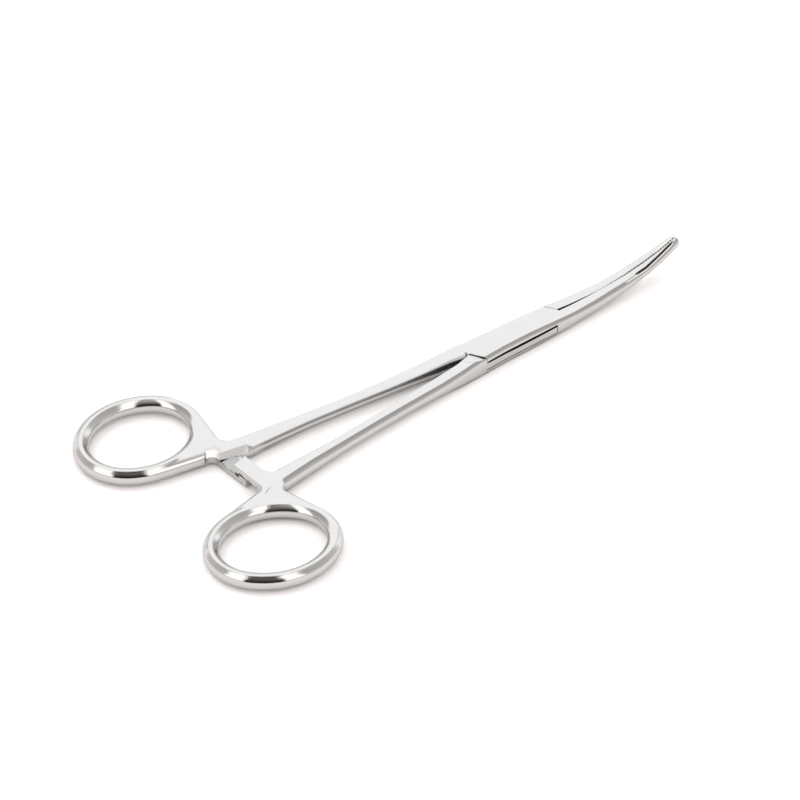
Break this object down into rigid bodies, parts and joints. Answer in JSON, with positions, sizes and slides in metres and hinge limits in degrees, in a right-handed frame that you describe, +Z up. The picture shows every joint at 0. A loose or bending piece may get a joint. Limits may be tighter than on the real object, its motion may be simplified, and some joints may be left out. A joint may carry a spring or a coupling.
{
  "type": "hemostat forceps",
  "caption": "Curved haemostatic forceps with finger rings, ratchet bars, box lock and serrated jaws, shown closed",
  "frame": {"origin": "on the lock's pivot axis, at the bottom face of the box, where the forceps rest", "axes": "+X along the instrument to the jaw tips, +Y to the female half's finger ring, +Z up along the pivot"},
  "size_m": [0.1383, 0.0678, 0.0078],
  "materials": {
    "female_half": "satin stainless steel",
    "male_half": "satin stainless steel",
    "pivot_pin": "ground flush, satin stainless steel"
  },
  "bodies": {
    "female_side": {"female_half": "female_half", "pivot_pin": "pivot_pin"},
    "male_side": {"male_half": "male_half"}
  },
  "joints": [
    {"name": "box_lock", "type": "hinge", "parent": "female_side", "child": "male_side", "pos_m": [0, 0, 0], "axis": [0, 0, 1], "range_deg": [0, 60]}
  ]
}
